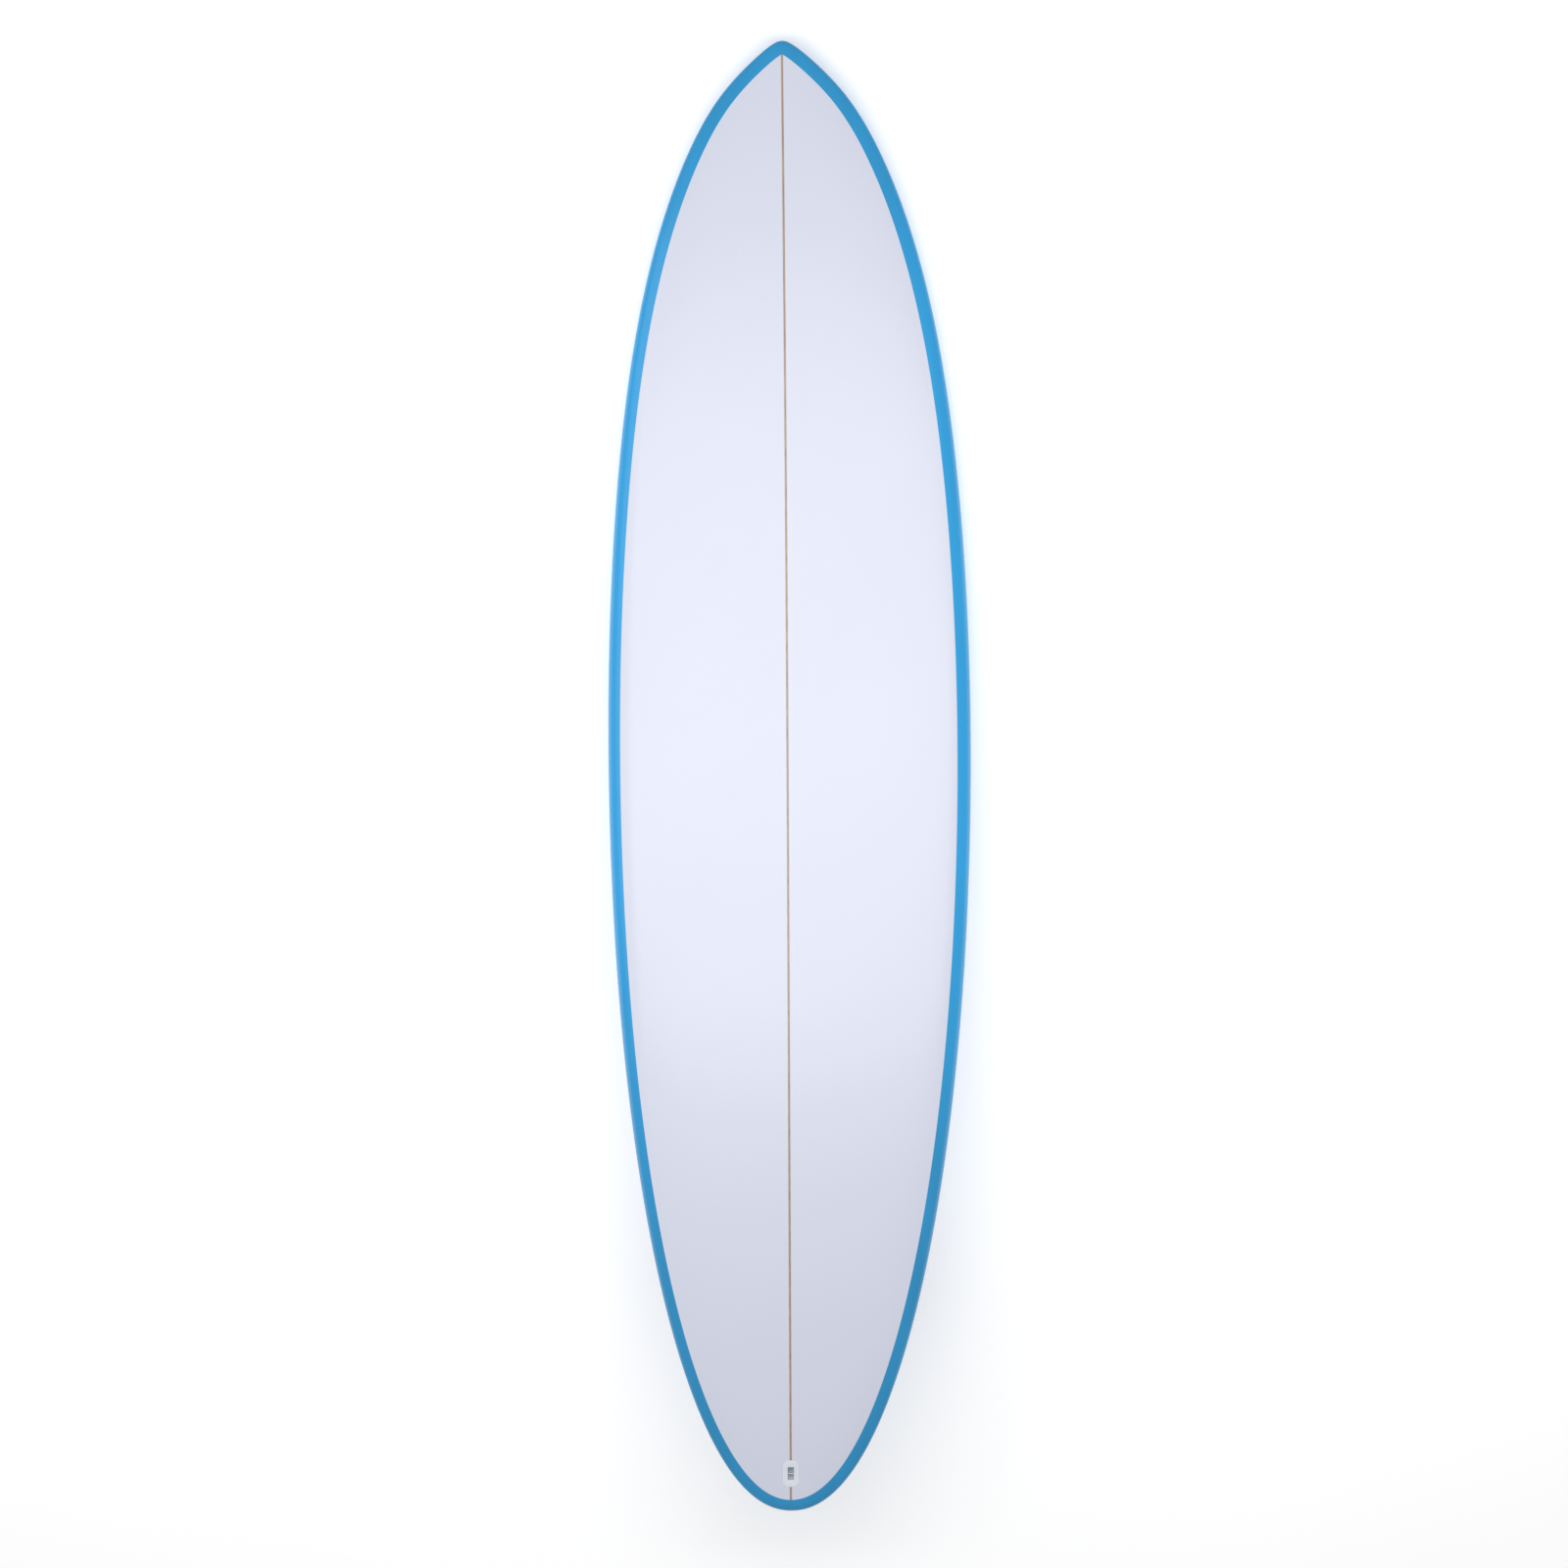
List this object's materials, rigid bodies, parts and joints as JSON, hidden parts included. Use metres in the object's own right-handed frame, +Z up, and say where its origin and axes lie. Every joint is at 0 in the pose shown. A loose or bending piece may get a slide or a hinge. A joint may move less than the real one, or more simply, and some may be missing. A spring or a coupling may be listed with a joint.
{
  "type": "surfboard",
  "caption": "Mid-length surfboard with a soft point nose, round tail, wooden stringer, blue rail laps, leash plug and removable fins in boxes.",
  "frame": {"origin": "under the middle of the bounding box, on the floor that the board rests on", "axes": "+Y from the tail to the nose, +Z up with the deck on top, +X to the right rail seen from above with the nose ahead"},
  "size_m": [0.531, 2.1282, 0.2143],
  "materials": {
    "foam": "closed-cell foam, sanded",
    "stringer_wood": "thin basswood strip",
    "deck_laminate": "clear glass and resin over white foam, satin",
    "bottom_laminate": "clear glass and resin over white foam, satin",
    "blue_lap": "blue tinted resin lap with a crisp cut edge",
    "plug_plastic": "white moulded plastic",
    "box_plastic": "white moulded plastic",
    "fin_laminate": "glass-filled composite",
    "pin_brass": "plain brass rod",
    "steel": "stainless steel"
  },
  "bodies": {
    "board": {"foam_core_left": "foam", "foam_core_right": "foam", "stringer": "stringer_wood", "deck_laminate": "deck_laminate", "bottom_laminate": "bottom_laminate", "rail_lap_left": "blue_lap", "rail_lap_right": "blue_lap", "leash_plug_cup": "plug_plastic", "leash_plug_bar": "steel", "centre_fin_box": "box_plastic", "side_fin_box_left": "box_plastic", "side_fin_box_right": "box_plastic"},
    "centre_fin": {"centre_fin": "fin_laminate", "centre_fin_pin": "pin_brass", "centre_fin_plate": "steel"},
    "centre_fin_screw": {"centre_fin_screw": "steel"},
    "side_fin_left": {"side_fin_left": "fin_laminate"},
    "rear_grub_screw_left": {"rear_grub_screw_left": "steel"},
    "front_grub_screw_left": {"front_grub_screw_left": "steel"},
    "side_fin_right": {"side_fin_right": "fin_laminate"},
    "rear_grub_screw_right": {"rear_grub_screw_right": "steel"},
    "front_grub_screw_right": {"front_grub_screw_right": "steel"}
  },
  "joints": [
    {"name": "centre_fin_slide", "type": "slide", "parent": "board", "child": "centre_fin", "axis": [0, 0.9827, -0.185], "range_m": [-0.045, 0.045]},
    {"name": "centre_fin_screw_turn", "type": "hinge", "parent": "centre_fin", "child": "centre_fin_screw", "pos_m": [0, -0.71316, 0.12895], "axis": [0, -0.185, -0.9827], "range_deg": [0, 720]},
    {"name": "side_fin_left_pull_out", "type": "slide", "parent": "board", "child": "side_fin_left", "axis": [-0.0896, -0.1757, -0.9804], "range_m": [0, 0.025]},
    {"name": "rear_grub_screw_left_turn", "type": "hinge", "parent": "board", "child": "rear_grub_screw_left", "pos_m": [-0.12667, -0.75138, 0.14242], "axis": [0.4201, -0.1773, -0.89], "range_deg": [0, 720]},
    {"name": "front_grub_screw_left_turn", "type": "hinge", "parent": "board", "child": "front_grub_screw_left", "pos_m": [-0.12472, -0.69632, 0.13237], "axis": [0.4201, -0.1773, -0.89], "range_deg": [0, 720]},
    {"name": "side_fin_right_pull_out", "type": "slide", "parent": "board", "child": "side_fin_right", "axis": [0.0896, -0.1757, -0.9804], "range_m": [0, 0.025]},
    {"name": "rear_grub_screw_right_turn", "type": "hinge", "parent": "board", "child": "rear_grub_screw_right", "pos_m": [0.12667, -0.75138, 0.14242], "axis": [-0.4201, -0.1773, -0.89], "range_deg": [0, 720]},
    {"name": "front_grub_screw_right_turn", "type": "hinge", "parent": "board", "child": "front_grub_screw_right", "pos_m": [0.12472, -0.69632, 0.13237], "axis": [-0.4201, -0.1773, -0.89], "range_deg": [0, 720]}
  ]
}
